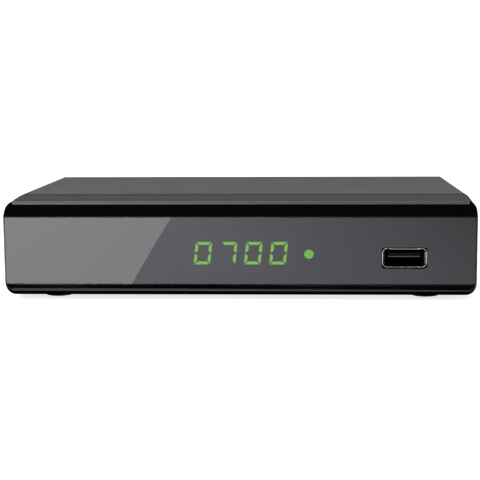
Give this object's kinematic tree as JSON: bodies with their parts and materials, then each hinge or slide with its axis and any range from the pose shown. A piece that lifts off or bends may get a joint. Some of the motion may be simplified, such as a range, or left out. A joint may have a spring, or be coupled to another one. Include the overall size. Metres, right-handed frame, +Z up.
{
  "type": "satellite tv receiver",
  "caption": "Low box-shaped satellite receiver with a smoked window, lit four-figure display, front port, rear sockets and a rocker power switch.",
  "frame": {"origin": "on the surface it stands on, under the middle of the overall length and width", "axes": "+X to the right seen from the front, +Y from the front window to the rear sockets, +Z up"},
  "size_m": [0.16, 0.1116, 0.0341],
  "materials": {
    "bezel_gloss": "high gloss black ABS",
    "fascia_matte": "fine spark-eroded texture, dark grey",
    "window_smoke": "polished smoked acrylic",
    "cover_paint": "matte dark grey powder coat",
    "chassis_steel": "galvanised, dull",
    "foot_rubber": "matte black",
    "board_mask": "green solder mask over glass fibre",
    "display_black": "matte black moulding",
    "segment_green": "lit green diffuser",
    "led_green": "lit green lens",
    "holder_white": "natural nylon",
    "shell_nickel": "bright nickel plate",
    "socket_black": "black moulding",
    "contact_gold": "gold flash",
    "chip_epoxy": "black moulding compound",
    "sink_aluminium": "clear anodised extrusion",
    "can_tin": "tin plate",
    "choke_ferrite": "matte ferrite",
    "capacitor_sleeve": "shrunk sleeve",
    "insulator_white": "white insulator",
    "insulator_orange": "orange insulator",
    "screw_black": "blackened steel",
    "screw_zinc": "zinc plated",
    "switch_black": "satin black nylon"
  },
  "bodies": {
    "housing": {"board_link": "socket_black", "board_screws": "screw_zinc", "capacitors": "capacitor_sleeve", "chassis": "chassis_steel", "chokes": "choke_ferrite", "cover_screws_left": "screw_black", "cover_screws_right": "screw_black", "crystal": "can_tin", "dc_jack": "socket_black", "dc_pin": "shell_nickel", "display_holder": "holder_white", "display_module": "display_black", "fascia_body": "fascia_matte", "fascia_screws": "screw_zinc", "flash_chip": "chip_epoxy", "foot_front_left": "foot_rubber", "foot_front_right": "foot_rubber", "foot_rear_left": "foot_rubber", "foot_rear_right": "foot_rubber", "front_bezel": "bezel_gloss", "front_board": "board_mask", "front_board_screws": "screw_zinc", "front_window": "window_smoke", "hdmi_shell": "shell_nickel", "hdmi_tongue": "socket_black", "heat_sink": "sink_aluminium", "ir_receiver": "chip_epoxy", "led_spacer": "holder_white", "lit_segments": "segment_green", "lnb_insulator": "insulator_white", "lnb_nut": "shell_nickel", "lnb_socket": "shell_nickel", "lnb_washer": "shell_nickel", "main_board": "board_mask", "memory_chip": "chip_epoxy", "power_led": "led_green", "processor": "chip_epoxy", "scart_block": "socket_black", "scart_housing": "socket_black", "spdif_barrel": "shell_nickel", "spdif_body": "socket_black", "spdif_insulator": "insulator_orange", "switch_body": "switch_black", "top_cover": "cover_paint", "tuner_can": "can_tin", "tuner_chip": "chip_epoxy", "usb_contacts": "contact_gold", "usb_insert": "socket_black", "usb_shell": "shell_nickel"},
    "rocker": {"power_rocker": "switch_black"}
  },
  "joints": [
    {"name": "rocker_tilt", "type": "hinge", "parent": "housing", "child": "rocker", "pos_m": [-0.06193, 0.04575, 0.01665], "axis": [0, 0, 1], "range_deg": [0, 20]}
  ]
}
